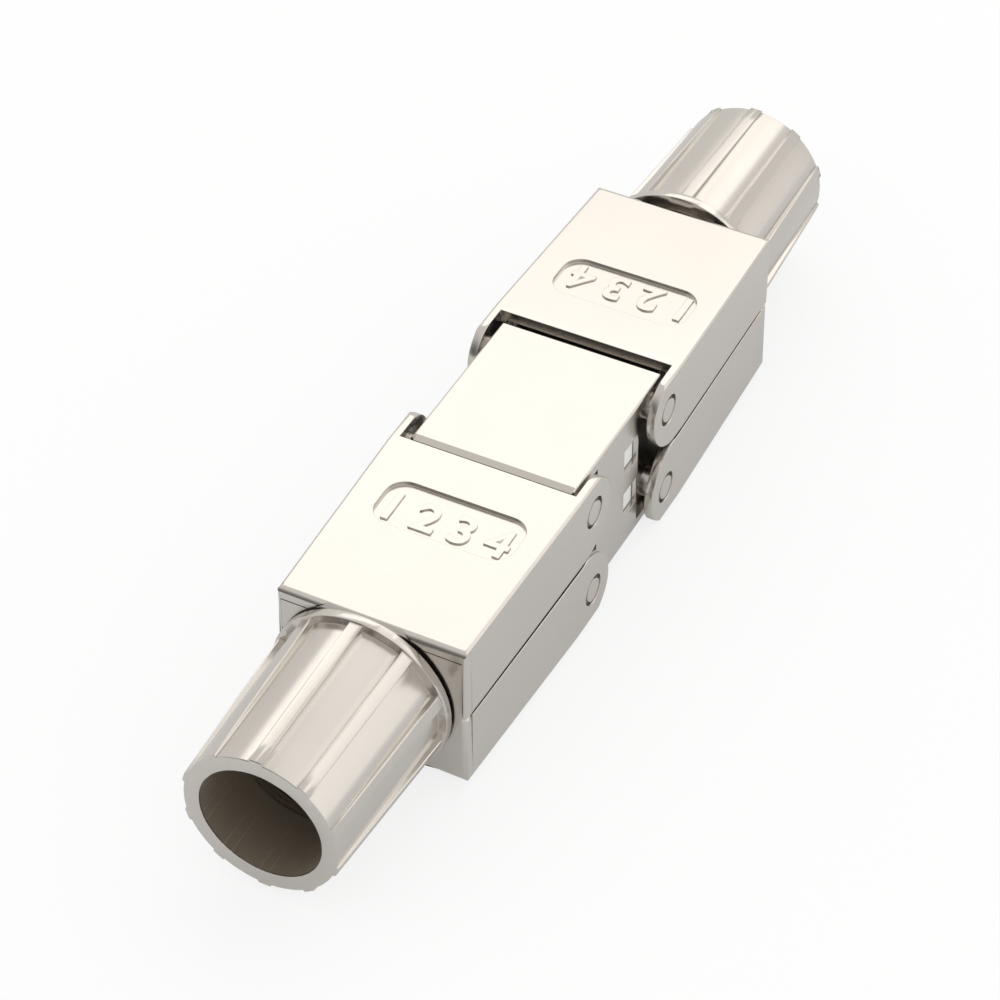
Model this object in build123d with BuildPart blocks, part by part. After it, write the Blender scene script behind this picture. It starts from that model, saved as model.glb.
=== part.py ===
from build123d import *
import os

os.makedirs("parts", exist_ok=True)

# A shielded cable coupler. X runs along the cable, +X to the far end, Z is up and the
# origin is at the middle of the body. All sizes are in millimetres.

# Outer body, as a half of its width or height
end_x = 29.4            # outer face of the doors
half_width = 9.0        # doors at the hinge, and up to taper_from
half_height = 7.7
taper_from = 10.0
side_taper = 0.5        # how much less the half sizes are at the end
top_taper = 0.39
end_half_width = half_width - side_taper
end_half_height = half_height - top_taper
cover_wall = 1.0
ear_wall = 0.8
edge_radius = 0.7       # long outer edges of the doors
hinge_edge_radius = 0.8
end_radius = 0.8        # top and bottom edge of the doors' outer end
slope = top_taper / (end_x - taper_from)
crown_z = end_half_height + slope * end_radius

# Seam between the doors
seam_inner = 0.28       # the upper door's edge above the lower door's at the hinge
seam_outer = 0.10

# Centre housing
plate_x = 8.25          # raised middle of the housing
plate_inset = 1.35
plate_drop = 0.55
plate_y = half_width - plate_inset
plate_z = half_height - plate_drop
sleeve_x = 10.0         # sleeve that reaches under the doors
sleeve_gap = 0.5
sleeve_wall = 0.9
sleeve_y = plate_y - 0.75
sleeve_z = half_height - cover_wall - sleeve_gap
pad_x = 4.0             # full-width part of the housing's side
window_x = 2.5
window_z = 2.45
window_w = 2.45
window_h = 2.75

# Hinges
pin_x = 7.2
pin_drop = 3.23         # a pin's middle below the top of the doors
pin_z = half_height - pin_drop
pin_radius = 1.40
pin_fit = 0.05          # radial running clearance
notch_x = 9.17          # edge of a cover between its ears
ear_x = 4.3             # rounded end of the ears
ear_mid = pin_z + 0.18  # where the two roundings of an ear meet
ear_r = half_height - ear_mid
seam_r = ear_mid - seam_inner

# Nut and collar
axis_y = 0.64           # the cable axis lies to one side of the doors' middle
near_gap = 0.25         # a nut's flange from the door's end wall
far_gap = 0.65
nut_long = 16.7
flange_radius = 8.0
flange_thick = 0.85
rib_base = 7.80
rib_tip = 7.10
panel_base = 7.22
panel_tip = 6.88
rib_count = 10
rib_angle = 9.0
cable_bore = 5.45
collar_radius = 6.42
collar_fit = 0.10
collar_bore = 5.30
collar_long = 9.2
collar_slot = 0.9
slot_long = 4.6
recess_radius = flange_radius + 0.05
recess_depth = 0.60
end_plate = 1.4
rim_gap = 0.10
nut_tip_x = end_x + near_gap + nut_long
collar_end = end_x + collar_long
tip_gap = 0.7
cone_long = 2.9
thread_end = collar_end + tip_gap
cone_end = thread_end + cone_long

# Recess for a marking on each upper door
mark_x = 16.4
mark_y = -0.25
mark_w = 5.2
mark_l = 12.8
mark_corner = 1.8
mark_depth = 0.4
mark_plane = Plane(
    origin=(-mark_x, mark_y, half_height - slope * (mark_x - taper_from)),
    x_dir=(0, -1, 0),
    z_dir=(-slope, 0, 1),
)

# Inside of the doors
door_wall = 0.9
rim_wall = 0.3          # the upper door's side wall at its end rim
rim_depth = 1.0
rim_corner = 0.28       # rounding of the rim's upright edges
tray_corner = 0.5
door_inner = end_half_width - door_wall
rim_inner = end_half_width - rim_wall
step_r = end_x - pin_x - rim_depth  # where the rim begins, as a radius about the hinge
ear_clear_x = 11.5      # the side walls are as thin as the ears up to here
lip_wall = 0.8
lip_top = 0.9
lip_in = ear_clear_x + 0.4
lip_out = end_x - end_plate - 0.5

# Board, carriers, contacts and wire guides
board_x = 20.0
board_z = 0.8
board_inset = 0.25
carrier_fit = 0.15
carrier_y = sleeve_y - sleeve_wall - carrier_fit
board_y = carrier_y - board_inset
carrier_top = sleeve_z - sleeve_wall - carrier_fit
carrier_floor = 2.2
carrier_rim = 1.55
guide_fit = 0.16        # under the doors' ceiling
guide_top = end_half_height - cover_wall - guide_fit
guide_high = 2.35
guide_low = guide_top - guide_high
guide_inset = 1.0
guide_y = door_inner - guide_inset
wire_groove = 1.3
groove_depth = 0.8
guide_in = 11.2
guide_out = 20.4
tower_in = guide_in - 0.6
tower_out = guide_out - 0.4
tower_top = guide_low - 0.1
tower_y = guide_y - 0.2
pitch = 2.9
contact_x = 15.6
contact_w = 2.6
contact_t = 0.45
contact_top = guide_top - 0.85
slot_fit = 0.08
lug_inset = 0.4
cable_plane = Plane.YZ.shift_origin((0, axis_y, 0))
cable_axis = Axis((0, axis_y, 0), (1, 0, 0))


# Centre housing: a square sleeve with a raised middle, eight hinge pins and the windows
# that hold the carriers' lugs. The other side's windows sit the other way round.
with BuildPart() as centre_housing:
    with BuildSketch(Plane.YZ.offset(-sleeve_x)):
        Rectangle(2 * sleeve_y, 2 * sleeve_z)
    extrude(amount=2 * sleeve_x)
    with BuildSketch(Plane.YZ.offset(-plate_x)):
        with Locations((0, plate_z - 0.5), (0, -plate_z + 0.5)):
            Rectangle(2 * plate_y, 1.0)
        Rectangle(2 * sleeve_y, 2 * plate_z)
    extrude(amount=2 * plate_x)
    with BuildSketch(Plane.YZ.offset(-pad_x)):
        Rectangle(2 * plate_y, 2 * plate_z)
    extrude(amount=2 * pad_x)
    top_edges = centre_housing.edges().filter_by(Axis.X).filter_by(
        lambda e: abs(abs(e.center().Y) - plate_y) < 0.01 and abs(abs(e.center().Z) - plate_z) < 0.01
    )
    fillet(top_edges, radius=0.25)
    for side in (-1, 1):
        with BuildSketch(Plane.XZ.offset(-side * half_width)):
            with GridLocations(2 * pin_x, 2 * pin_z, 2, 2):
                Circle(pin_radius)
        extrude(amount=side * (half_width - sleeve_y + 0.2))
    with BuildSketch(Plane.YZ.offset(-sleeve_x)):
        Rectangle(2 * (sleeve_y - sleeve_wall), 2 * (sleeve_z - sleeve_wall))
    extrude(amount=2 * sleeve_x, mode=Mode.SUBTRACT)
    for side in (-1, 1):
        with BuildSketch(Plane.XZ.offset(-side * (plate_y + 1))):
            with Locations((-side * window_x, -window_z), (-side * window_x, window_z)):
                Rectangle(window_w, window_h)
        extrude(amount=side * 3.2, mode=Mode.SUBTRACT)
centre_housing.part.label = "centre_housing"
export_step(centre_housing.part, "parts/centre_housing.step")


# Outer shape that the upper and the lower door share, tapering from the hinge to the end.
with BuildPart() as door_blank:
    with BuildSketch(Plane.XZ.offset(-half_width)):
        Polygon(
            (-end_x, -end_half_height),
            (-taper_from, -half_height),
            (-taper_from, half_height),
            (-end_x, end_half_height),
            align=None,
        )
    extrude(amount=2 * half_width)
    with BuildSketch(Plane.XY.offset(-half_height)):
        Polygon(
            (-end_x, -end_half_width),
            (-taper_from, -half_width),
            (-taper_from, half_width),
            (-end_x, end_half_width),
            align=None,
        )
    extrude(amount=2 * half_height, mode=Mode.INTERSECT)
    long_edges = door_blank.edges().filter_by(lambda e: abs(e.center().X + (end_x + taper_from) / 2) < 0.5)
    fillet(long_edges, radius=edge_radius)
    with BuildSketch(Plane.YZ.offset(-taper_from)):
        RectangleRounded(2 * half_width, 2 * half_height, hinge_edge_radius)
    extrude(amount=taper_from - ear_x)


# Near upper door: a cover with two rounded ears, open below and at its outer end, where
# the lower door's end wall stands inside a thin rim. The ears turn on the pins.
with BuildPart() as near_upper_door:
    add(door_blank.part)
    with BuildSketch(Plane.XZ.offset(-half_width - 1)):
        with BuildLine():
            Line((-end_x, seam_outer), (-end_x, crown_z - end_radius))
            RadiusArc((-end_x, crown_z - end_radius), (-end_x + end_radius, crown_z), end_radius)
            Line((-end_x + end_radius, crown_z), (-end_x + end_radius, half_height))
            Line((-end_x + end_radius, half_height), (-ear_x - ear_r, half_height))
            RadiusArc((-ear_x - ear_r, half_height), (-ear_x, half_height - ear_r), ear_r)
            RadiusArc((-ear_x, half_height - ear_r), (-ear_x - seam_r, seam_inner), seam_r)
            Line((-ear_x - seam_r, seam_inner), (-end_x, seam_outer))
        make_face()
    extrude(amount=2 * half_width + 2, mode=Mode.INTERSECT)
    with BuildSketch(Plane.XY):
        RectangleRounded(2 * end_x, 2 * end_half_width, rim_corner)
        with Locations((-end_x / 2 + 1, 0)):
            Rectangle(end_x, 2 * half_width + 2)
    extrude(amount=half_height, mode=Mode.INTERSECT)
    with BuildSketch(Plane.XY.offset(-1)):
        with Locations((-notch_x / 2, 0)):
            Rectangle(notch_x, 2 * (half_width - ear_wall))
    extrude(amount=half_height + 2, mode=Mode.SUBTRACT)
    with BuildSketch(Plane.XZ.offset(-door_inner)):
        Polygon(
            (-end_x - 1, -1),
            (-end_x - 1, end_half_height - cover_wall),
            (-end_x, end_half_height - cover_wall),
            (-taper_from, half_height - cover_wall),
            (-notch_x + 0.5, half_height - cover_wall),
            (-notch_x + 0.5, -1),
            align=None,
        )
    extrude(amount=2 * door_inner, mode=Mode.SUBTRACT)
    with BuildSketch(Plane.XY.offset(-1)):
        with Locations(((-notch_x - ear_clear_x) / 2, 0)):
            Rectangle(ear_clear_x - notch_x, 2 * (half_width - ear_wall))
    extrude(amount=1 + end_half_height - cover_wall, mode=Mode.SUBTRACT)
    with BuildSketch(Plane.XZ.offset(-rim_inner)):
        with Locations((-end_x, 0)):
            Rectangle(6 * rim_depth, 2 * (end_half_height - cover_wall))
        with Locations((-pin_x, pin_z)):
            Circle(step_r, mode=Mode.SUBTRACT)
    extrude(amount=2 * rim_inner, mode=Mode.SUBTRACT)
    with BuildSketch(Plane.XZ.offset(-half_width - 1)):
        with Locations((-pin_x, pin_z)):
            Circle(pin_radius + pin_fit)
    extrude(amount=2 * half_width + 2, mode=Mode.SUBTRACT)
    with BuildSketch(cable_plane.offset(-end_x - 0.5)):
        Circle(recess_radius)
    extrude(amount=0.5 + recess_depth, mode=Mode.SUBTRACT)
    with BuildSketch(mark_plane):
        RectangleRounded(mark_l, mark_w, mark_corner)
    extrude(amount=-mark_depth, mode=Mode.SUBTRACT)
near_upper_door.part.label = "near_upper_door"
export_step(near_upper_door.part, "parts/near_upper_door.step")

with BuildPart() as far_upper_door:
    add(near_upper_door.part.mirror(Plane.YZ))
far_upper_door.part.label = "far_upper_door"
export_step(far_upper_door.part, "parts/far_upper_door.step")


# Near lower door: a tray with the same ears. Its end wall rises inside the upper door and
# carries the collar, which is slotted into fingers that grip the cable. Two lips along its
# sides stand inside the upper door and close the seam.
wall_top = end_half_height - cover_wall - rim_gap
with BuildPart() as near_lower_door:
    add(door_blank.part)
    with BuildSketch(Plane.XZ.offset(-half_width - 1)):
        with BuildLine():
            Line((-end_x, 0), (-end_x, -crown_z + end_radius))
            RadiusArc((-end_x, -crown_z + end_radius), (-end_x + end_radius, -crown_z), -end_radius)
            Line((-end_x + end_radius, -crown_z), (-end_x + end_radius, -half_height))
            Line((-end_x + end_radius, -half_height), (-ear_x - ear_r, -half_height))
            RadiusArc((-ear_x - ear_r, -half_height), (-ear_x, -ear_mid), -ear_r)
            RadiusArc((-ear_x, -ear_mid), (-ear_x - ear_mid, 0), -ear_mid)
            Line((-ear_x - ear_mid, 0), (-end_x, 0))
        make_face()
    extrude(amount=2 * half_width + 2, mode=Mode.INTERSECT)
    with BuildSketch(Plane.XY):
        RectangleRounded(2 * end_x, 2 * end_half_width, tray_corner)
        with Locations((-end_x / 2 + 1, 0)):
            Rectangle(end_x, 2 * half_width + 2)
    extrude(amount=-half_height, mode=Mode.INTERSECT)
    with BuildSketch(Plane.XY.offset(-half_height - 1)):
        with Locations((-notch_x / 2, 0)):
            Rectangle(notch_x, 2 * (half_width - ear_wall))
    extrude(amount=half_height + 2, mode=Mode.SUBTRACT)
    with BuildSketch(Plane.XZ.offset(-door_inner)):
        Polygon(
            (-end_x + end_plate, 1),
            (-end_x + end_plate, -end_half_height + cover_wall),
            (-taper_from, -half_height + cover_wall),
            (-notch_x + 0.5, -half_height + cover_wall),
            (-notch_x + 0.5, 1),
            align=None,
        )
    extrude(amount=2 * door_inner, mode=Mode.SUBTRACT)
    with BuildSketch(Plane.XY.offset(1)):
        with Locations(((-notch_x - ear_clear_x) / 2, 0)):
            Rectangle(ear_clear_x - notch_x, 2 * (half_width - ear_wall))
    extrude(amount=-1 - end_half_height + cover_wall, mode=Mode.SUBTRACT)
    with BuildSketch(Plane.XZ.offset(-half_width - 1)):
        with Locations((-pin_x, -pin_z)):
            Circle(pin_radius + pin_fit)
    extrude(amount=2 * half_width + 2, mode=Mode.SUBTRACT)
    with BuildSketch(Plane.YZ.offset(-end_x)):
        with Locations((0, wall_top / 2 - 0.5)):
            Rectangle(2 * (door_inner - rim_gap), wall_top + 1)
    extrude(amount=end_plate)
    with BuildSketch(Plane.XZ.offset(-rim_inner + rim_gap)):
        with Locations((-end_x + 1.5 * rim_depth, wall_top / 2 - 0.5)):
            Rectangle(3 * rim_depth, wall_top + 1)
        with Locations((-pin_x, pin_z)):
            Circle(step_r + rim_gap, mode=Mode.SUBTRACT)
    extrude(amount=2 * (rim_inner - rim_gap))
    with BuildSketch(Plane.XY.offset(-2)):
        with Locations((-(lip_in + lip_out) / 2, 0)):
            Rectangle(lip_out - lip_in, 2 * door_inner + 0.2)
            Rectangle(lip_out - lip_in, 2 * (door_inner - lip_wall), mode=Mode.SUBTRACT)
    extrude(amount=2)
    with BuildSketch(Plane.XY.offset(-1)):
        with Locations((-(lip_in + lip_out) / 2, 0)):
            Rectangle(lip_out - lip_in, 2 * (door_inner - rim_gap))
            Rectangle(lip_out - lip_in, 2 * (door_inner - lip_wall), mode=Mode.SUBTRACT)
    extrude(amount=1 + lip_top)
    with BuildSketch(cable_plane.offset(-end_x - 0.5)):
        Circle(recess_radius)
    extrude(amount=0.5 + recess_depth, mode=Mode.SUBTRACT)
    with BuildSketch(cable_plane.offset(-collar_end)):
        Circle(collar_radius)
    extrude(amount=collar_end - end_x + recess_depth)
    with BuildSketch(cable_plane.offset(-collar_end - 1)):
        Circle(collar_bore)
    extrude(amount=collar_end - end_x + end_plate + 1.5, mode=Mode.SUBTRACT)
    with BuildSketch(cable_plane.offset(-collar_end - 1)):
        with PolarLocations(0, 2):
            Rectangle(2 * collar_radius + 2, collar_slot)
    extrude(amount=1 + slot_long, mode=Mode.SUBTRACT)
near_lower_door.part.label = "near_lower_door"
export_step(near_lower_door.part, "parts/near_lower_door.step")

with BuildPart() as far_lower_door:
    add(near_lower_door.part.mirror(Plane.YZ))
far_lower_door.part.label = "far_lower_door"
export_step(far_lower_door.part, "parts/far_lower_door.step")


# Near nut: a tapered sleeve with a flange and ten ribs; the panels between the ribs are
# deepest at the flange. Inside, a wide bore runs on the collar and a cone narrows to the
# cable bore.
back = -(end_x + near_gap)
with BuildPart() as near_nut:
    with BuildSketch(Plane.XZ.offset(-axis_y)):
        Polygon(
            (back, collar_radius + collar_fit),
            (back, flange_radius),
            (back - flange_thick, flange_radius),
            (back - flange_thick, rib_base),
            (-nut_tip_x, rib_tip),
            (-nut_tip_x, cable_bore),
            (-cone_end, cable_bore),
            (-thread_end, collar_radius + collar_fit),
            align=None,
        )
    revolve(axis=cable_axis)
    for count in range(rib_count):
        turn = 360 / rib_count * count
        with BuildSketch(Plane.XZ.offset(-axis_y).rotated((rib_angle / 2 + turn, 0, 0))):
            Polygon(
                (back - flange_thick, panel_base),
                (back - flange_thick, flange_radius + 1),
                (-nut_tip_x - 1, flange_radius + 1),
                (-nut_tip_x - 1, panel_tip),
                (-nut_tip_x, panel_tip),
                align=None,
            )
        revolve(axis=cable_axis, revolution_arc=360 / rib_count - rib_angle, mode=Mode.SUBTRACT)
near_nut.part.label = "near_nut"
export_step(near_nut.part, "parts/near_nut.step")

with BuildPart() as far_nut:
    add(near_nut.part.mirror(Plane.YZ).translate((far_gap - near_gap, 0, 0)))
far_nut.part.label = "far_nut"
export_step(far_nut.part, "parts/far_nut.step")


# Circuit board between the two sets of contacts.
with BuildPart() as circuit_board:
    with BuildSketch(Plane.XY.offset(-board_z)):
        Rectangle(2 * board_x, 2 * board_y)
    extrude(amount=2 * board_z)
circuit_board.part.label = "circuit_board"
export_step(circuit_board.part, "parts/circuit_board.step")


# Upper carrier: one moulding along the board, with a tower of four contact slots at each
# end and a lug on each side that snaps into a window of the housing.
with BuildPart() as upper_carrier:
    with BuildSketch(Plane.XY.offset(board_z)):
        Rectangle(2 * tower_in, 2 * carrier_y)
    extrude(amount=carrier_top - board_z)
    with BuildSketch(Plane.XY.offset(board_z)):
        with Locations(((tower_in + tower_out) / 2 - 0.1, 0), (-(tower_in + tower_out) / 2 + 0.1, 0)):
            Rectangle(tower_out - tower_in + 0.2, 2 * tower_y)
    extrude(amount=tower_top - board_z)
    with BuildSketch(Plane.XY.offset(carrier_floor)):
        Rectangle(2 * (plate_x - 1.75), 2 * (carrier_y - carrier_rim))
    extrude(amount=4, mode=Mode.SUBTRACT)
    with BuildSketch(Plane.XY.offset(board_z - 0.5)):
        for end in (-1, 1):
            with GridLocations(0, pitch, 1, 4):
                with Locations((end * contact_x, 0)):
                    Rectangle(contact_w + 2 * slot_fit, contact_t + 2 * slot_fit)
    extrude(amount=6, mode=Mode.SUBTRACT)
    for side in (-1, 1):
        with BuildSketch(Plane.XZ.offset(-side * (plate_y - lug_inset))):
            with Locations((-side * window_x, window_z)):
                Rectangle(window_w - 0.2, window_h - 0.2)
        extrude(amount=side * (plate_y - lug_inset - carrier_y + 0.2))
upper_carrier.part.label = "upper_carrier"
export_step(upper_carrier.part, "parts/upper_carrier.step")

# Lower carrier: the same moulding turned over about the cable axis, so that its lugs meet
# the lower windows.
with BuildPart() as lower_carrier:
    add(upper_carrier.part.mirror(Plane.XY))
lower_carrier.part.label = "lower_carrier"
export_step(lower_carrier.part, "parts/lower_carrier.step")


# Sixteen contacts: flat forks that stand on the board, with a slot between two tines that
# cuts through the insulation of a wire.
for end_name, end in (("near", -1), ("far", 1)):
    for level_name, level in (("upper", 1), ("lower", -1)):
        for count in range(4):
            y_mid = (count - 1.5) * pitch
            with BuildPart() as contact:
                with BuildSketch(Plane.XZ.offset(-y_mid - contact_t / 2)):
                    Polygon(
                        (end * contact_x - contact_w / 2, level * board_z),
                        (end * contact_x + contact_w / 2, level * board_z),
                        (end * contact_x + contact_w / 2, level * (contact_top - 0.5)),
                        (end * contact_x + 0.8, level * contact_top),
                        (end * contact_x + 0.22, level * (contact_top - 0.7)),
                        (end * contact_x + 0.22, level * 3.0),
                        (end * contact_x - 0.22, level * 3.0),
                        (end * contact_x - 0.22, level * (contact_top - 0.7)),
                        (end * contact_x - 0.8, level * contact_top),
                        (end * contact_x - contact_w / 2, level * (contact_top - 0.5)),
                        align=None,
                    )
                extrude(amount=contact_t)
            node = end_name + "_" + level_name + "_contact_" + str(count + 1)
            contact.part.label = node
            export_step(contact.part, "parts/" + node + ".step")


# Wire guides: each lies on a tower under its door, with four grooves for the wires and four
# slots that the contacts enter when the door is pressed shut.
for end_name, end in (("near", -1), ("far", 1)):
    for level_name, level in (("upper", 1), ("lower", -1)):
        guide_mid = end * (guide_in + guide_out) / 2
        with BuildPart() as guide:
            with BuildSketch(Plane.XY.offset(level * guide_low)):
                with Locations((guide_mid, 0)):
                    Rectangle(guide_out - guide_in, 2 * guide_y)
            extrude(amount=level * (guide_top - guide_low))
            with BuildSketch(Plane.XY.offset(level * (guide_low - 0.5))):
                with GridLocations(0, pitch, 1, 4):
                    with Locations((end * contact_x, 0)):
                        Rectangle(contact_w + 0.3, contact_t + 0.3)
            extrude(amount=level * (contact_top + 0.2 - guide_low + 0.5), mode=Mode.SUBTRACT)
            with BuildSketch(Plane.YZ.offset(guide_mid - (guide_out - guide_in) / 2 - 1)):
                with GridLocations(pitch, 0, 4, 1):
                    with Locations((0, level * guide_low)):
                        Rectangle(wire_groove, 2 * groove_depth)
            extrude(amount=guide_out - guide_in + 2, mode=Mode.SUBTRACT)
        node = end_name + "_" + level_name + "_wire_guide"
        guide.part.label = node
        export_step(guide.part, "parts/" + node + ".step")
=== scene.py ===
"""A shielded cable coupler on a pale studio floor: a cast centre housing, four hinged doors
and two ribbed nuts in satin nickel, with plastic carriers, a board, contacts and wire
guides inside. Lengths are in metres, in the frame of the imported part."""

import math

import bmesh
import bpy
import numpy as np
from mathutils import Matrix, Vector


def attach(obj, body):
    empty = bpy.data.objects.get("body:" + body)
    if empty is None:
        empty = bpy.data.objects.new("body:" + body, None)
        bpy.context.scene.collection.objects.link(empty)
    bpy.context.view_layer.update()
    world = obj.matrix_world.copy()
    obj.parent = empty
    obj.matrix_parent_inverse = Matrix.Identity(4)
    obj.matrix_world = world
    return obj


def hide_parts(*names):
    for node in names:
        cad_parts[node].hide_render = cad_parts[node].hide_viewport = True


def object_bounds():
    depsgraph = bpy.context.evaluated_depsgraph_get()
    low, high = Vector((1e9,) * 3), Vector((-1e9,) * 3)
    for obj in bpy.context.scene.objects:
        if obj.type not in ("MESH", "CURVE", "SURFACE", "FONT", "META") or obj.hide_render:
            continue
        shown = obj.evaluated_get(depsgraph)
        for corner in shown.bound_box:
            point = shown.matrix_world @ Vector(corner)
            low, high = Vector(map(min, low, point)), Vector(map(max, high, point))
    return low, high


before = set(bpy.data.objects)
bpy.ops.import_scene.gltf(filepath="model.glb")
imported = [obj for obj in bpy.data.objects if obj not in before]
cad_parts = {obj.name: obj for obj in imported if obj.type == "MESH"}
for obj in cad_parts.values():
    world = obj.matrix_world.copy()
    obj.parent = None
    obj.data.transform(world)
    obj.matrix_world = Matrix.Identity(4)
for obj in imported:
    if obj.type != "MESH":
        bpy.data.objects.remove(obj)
cad_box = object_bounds()
MM = 0.001


# Camera. A long lens looks down on the part from the near end's right. Its place, turn and
# focal length were fitted to the photograph's edges, and the picture is square.
CAMERA_PLACE = Vector((-0.19662, -0.09820, 0.19994))
CAMERA_TARGET = Vector((-0.00513, 0.00096, 0.0))
CAMERA_ROLL = -0.25  # degrees
LENS_MM = 124.51

camera_data = bpy.data.cameras.new("camera")
camera_data.lens = LENS_MM
camera_data.sensor_width = 36.0
camera_data.clip_start = 0.01
camera = bpy.data.objects.new("camera", camera_data)
camera.location = CAMERA_PLACE
view_turn = (CAMERA_TARGET - CAMERA_PLACE).to_track_quat("-Z", "Y").to_matrix()
roll_turn = Matrix.Rotation(math.radians(CAMERA_ROLL), 3, "Z")
camera.rotation_euler = (view_turn @ roll_turn).to_euler()
bpy.context.collection.objects.link(camera)
bpy.context.scene.camera = camera


# Studio. A white floor runs out to a white surround. A dark screen stands behind the
# camera's left, and four soft lamps hang round the part, the largest over its far end.
FLOOR_HALF = 3.0
FLOOR_GAP = 0.1 * MM         # the floor lies this far below the part
FLOOR_SHARE_SEEN = 0.80      # how much of the floor's own white the camera sees, beside its shade
FLOOR_SHARE_MIRRORED = 0.50  # the same as the metal mirrors it, where that white is less
FLOOR_WHITE_MIRRORED = 0.58
SURROUND_FILL = 0.95         # the surround's light on matt surfaces
SURROUND_MIRRORED = 0.80     # and its level in the metal
SCREEN_WAY = (-0.91, 0.33, 0.20)
SCREEN_LEVEL = 0.12
SCREEN_EDGE = 0.65           # cosine of the angle from its middle where it begins
LAMP_FAR = 0.9
LAMP_COLOUR = (1.0, 0.972, 0.94)
LAMP_POWER = 4.0             # watts on a square metre of a lamp for a level of 1

floor_z = float(cad_box[0][2]) - FLOOR_GAP


def white_floor():
    """Diffuse white, mixed with an even white for camera, glossy and transmission rays, so
    that shadows stay faint."""
    material = bpy.data.materials.new("studio_white")
    material.use_nodes = True
    nodes, links = material.node_tree.nodes, material.node_tree.links
    nodes.clear()
    out = nodes.new("ShaderNodeOutputMaterial")
    mix = nodes.new("ShaderNodeMixShader")
    matt = nodes.new("ShaderNodeBsdfDiffuse")
    glow = nodes.new("ShaderNodeEmission")
    path = nodes.new("ShaderNodeLightPath")
    shares = []
    for ray, share in (
        ("Is Camera Ray", FLOOR_SHARE_SEEN),
        ("Is Transmission Ray", FLOOR_SHARE_SEEN),
        ("Is Glossy Ray", FLOOR_SHARE_MIRRORED),
    ):
        part = nodes.new("ShaderNodeMath")
        part.operation = "MULTIPLY"
        part.inputs[1].default_value = share
        links.new(path.outputs[ray], part.inputs[0])
        shares.append(part)
    first = nodes.new("ShaderNodeMath")
    second = nodes.new("ShaderNodeMath")
    first.operation = second.operation = "MAXIMUM"
    links.new(shares[0].outputs[0], first.inputs[0])
    links.new(shares[1].outputs[0], first.inputs[1])
    links.new(first.outputs[0], second.inputs[0])
    links.new(shares[2].outputs[0], second.inputs[1])
    white = nodes.new("ShaderNodeMapRange")
    white.inputs["To Min"].default_value = 1.0
    white.inputs["To Max"].default_value = FLOOR_WHITE_MIRRORED
    links.new(path.outputs["Is Glossy Ray"], white.inputs["Value"])
    links.new(white.outputs["Result"], glow.inputs["Strength"])
    matt.inputs["Color"].default_value = (0.90, 0.90, 0.89, 1)
    glow.inputs["Color"].default_value = (1, 1, 1, 1)
    links.new(second.outputs[0], mix.inputs[0])
    links.new(matt.outputs[0], mix.inputs[1])
    links.new(glow.outputs[0], mix.inputs[2])
    links.new(mix.outputs[0], out.inputs[0])
    return material


floor_mesh = bpy.data.meshes.new("floor")
corner = np.array([(-1, -1, 0), (1, -1, 0), (1, 1, 0), (-1, 1, 0)], float)
floor_mesh.from_pydata((corner * FLOOR_HALF + (0, 0, floor_z)).tolist(), [], [(0, 1, 2, 3)])
floor_mesh.materials.append(white_floor())
floor = bpy.data.objects.new("floor", floor_mesh)
bpy.context.collection.objects.link(floor)

world = bpy.data.worlds.new("surround")
bpy.context.scene.world = world
world.use_nodes = True
nodes, links = world.node_tree.nodes, world.node_tree.links
nodes.clear()
world_out = nodes.new("ShaderNodeOutputWorld")
seen = nodes.new("ShaderNodeBackground")
mirrored = nodes.new("ShaderNodeBackground")
fill = nodes.new("ShaderNodeBackground")
by_gloss = nodes.new("ShaderNodeMixShader")
by_camera = nodes.new("ShaderNodeMixShader")
path = nodes.new("ShaderNodeLightPath")
gloss_or_glass = nodes.new("ShaderNodeMath")
gloss_or_glass.operation = "MAXIMUM"
way = nodes.new("ShaderNodeTexCoord")
towards_screen = nodes.new("ShaderNodeVectorMath")
towards_screen.operation = "DOT_PRODUCT"
towards_screen.inputs[1].default_value = Vector(SCREEN_WAY).normalized()
level = nodes.new("ShaderNodeMapRange")
level.inputs["From Min"].default_value = SCREEN_EDGE
level.inputs["From Max"].default_value = 1.00
level.inputs["To Min"].default_value = SURROUND_MIRRORED
level.inputs["To Max"].default_value = SCREEN_LEVEL
seen.inputs["Strength"].default_value = 1.0
seen.inputs["Color"].default_value = (1, 1, 1, 1)
mirrored.inputs["Color"].default_value = (1, 0.975, 0.945, 1)
fill.inputs["Color"].default_value = (1, 1, 1, 1)
fill.inputs["Strength"].default_value = SURROUND_FILL
links.new(way.outputs["Generated"], towards_screen.inputs[0])
links.new(towards_screen.outputs["Value"], level.inputs["Value"])
links.new(level.outputs["Result"], mirrored.inputs["Strength"])
links.new(path.outputs["Is Glossy Ray"], gloss_or_glass.inputs[0])
links.new(path.outputs["Is Transmission Ray"], gloss_or_glass.inputs[1])
links.new(gloss_or_glass.outputs[0], by_gloss.inputs[0])
links.new(fill.outputs[0], by_gloss.inputs[1])
links.new(mirrored.outputs[0], by_gloss.inputs[2])
links.new(path.outputs["Is Camera Ray"], by_camera.inputs[0])
links.new(by_gloss.outputs[0], by_camera.inputs[1])
links.new(seen.outputs[0], by_camera.inputs[2])
links.new(by_camera.outputs[0], world_out.inputs[0])


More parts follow.
